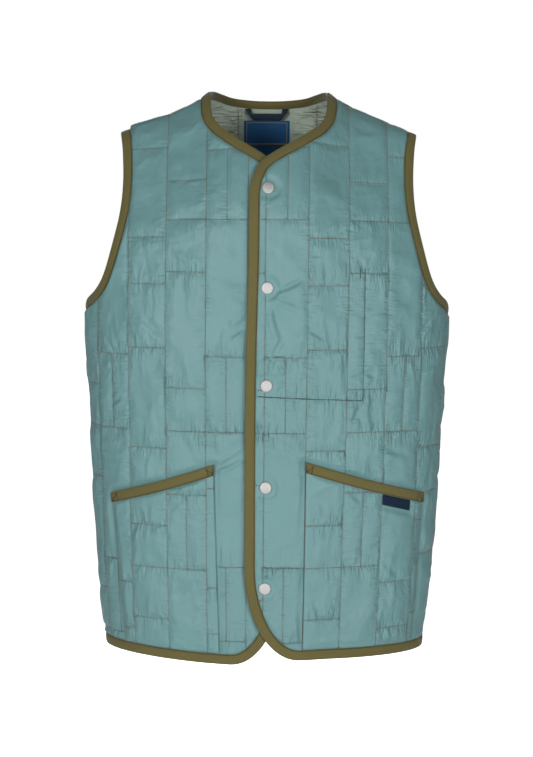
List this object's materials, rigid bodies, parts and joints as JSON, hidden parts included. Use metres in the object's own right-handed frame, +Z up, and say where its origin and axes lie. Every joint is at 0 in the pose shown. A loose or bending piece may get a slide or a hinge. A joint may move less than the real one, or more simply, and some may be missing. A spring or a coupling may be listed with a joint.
{
  "type": "quilted gilet",
  "caption": "Hollow sleeveless quilted waistcoat with a collarless neck, bound edges, patch pockets and a snap-fastened front, in the shape it has when worn.",
  "frame": {"origin": "midway between the neck points, at the height of the inner ends of the shoulder seams", "axes": "+Z up along the wearer's back, -Y out of the front, +X towards the wearer's left"},
  "size_m": [0.4519, 0.2509, 0.6967],
  "materials": {
    "shell": "quilted, soft sheen",
    "lining": "smooth, soft sheen",
    "binding": "matt weave",
    "label": "matt weave",
    "snap": "satin"
  },
  "bodies": {
    "root": {"front_left": "shell", "front_right": "shell", "back": "shell", "pocket_left": "shell", "pocket_right": "shell", "lining_back": "lining", "neck_binding": "binding", "front_binding_left": "binding", "front_binding_right": "binding", "hem_binding_back": "binding", "armhole_binding_left": "binding", "armhole_binding_right": "binding", "pocket_binding_left": "binding", "pocket_binding_right": "binding", "neck_label": "label", "neck_label_tab": "label", "hanger_loop": "label", "pocket_tab": "label", "snap_cap_1": "snap", "snap_cap_2": "snap", "snap_cap_3": "snap", "snap_cap_4": "snap", "snap_cap_5": "snap", "snap_stud_1": "snap", "snap_stud_2": "snap", "snap_stud_3": "snap", "snap_stud_4": "snap", "snap_stud_5": "snap"}
  },
  "joints": []
}
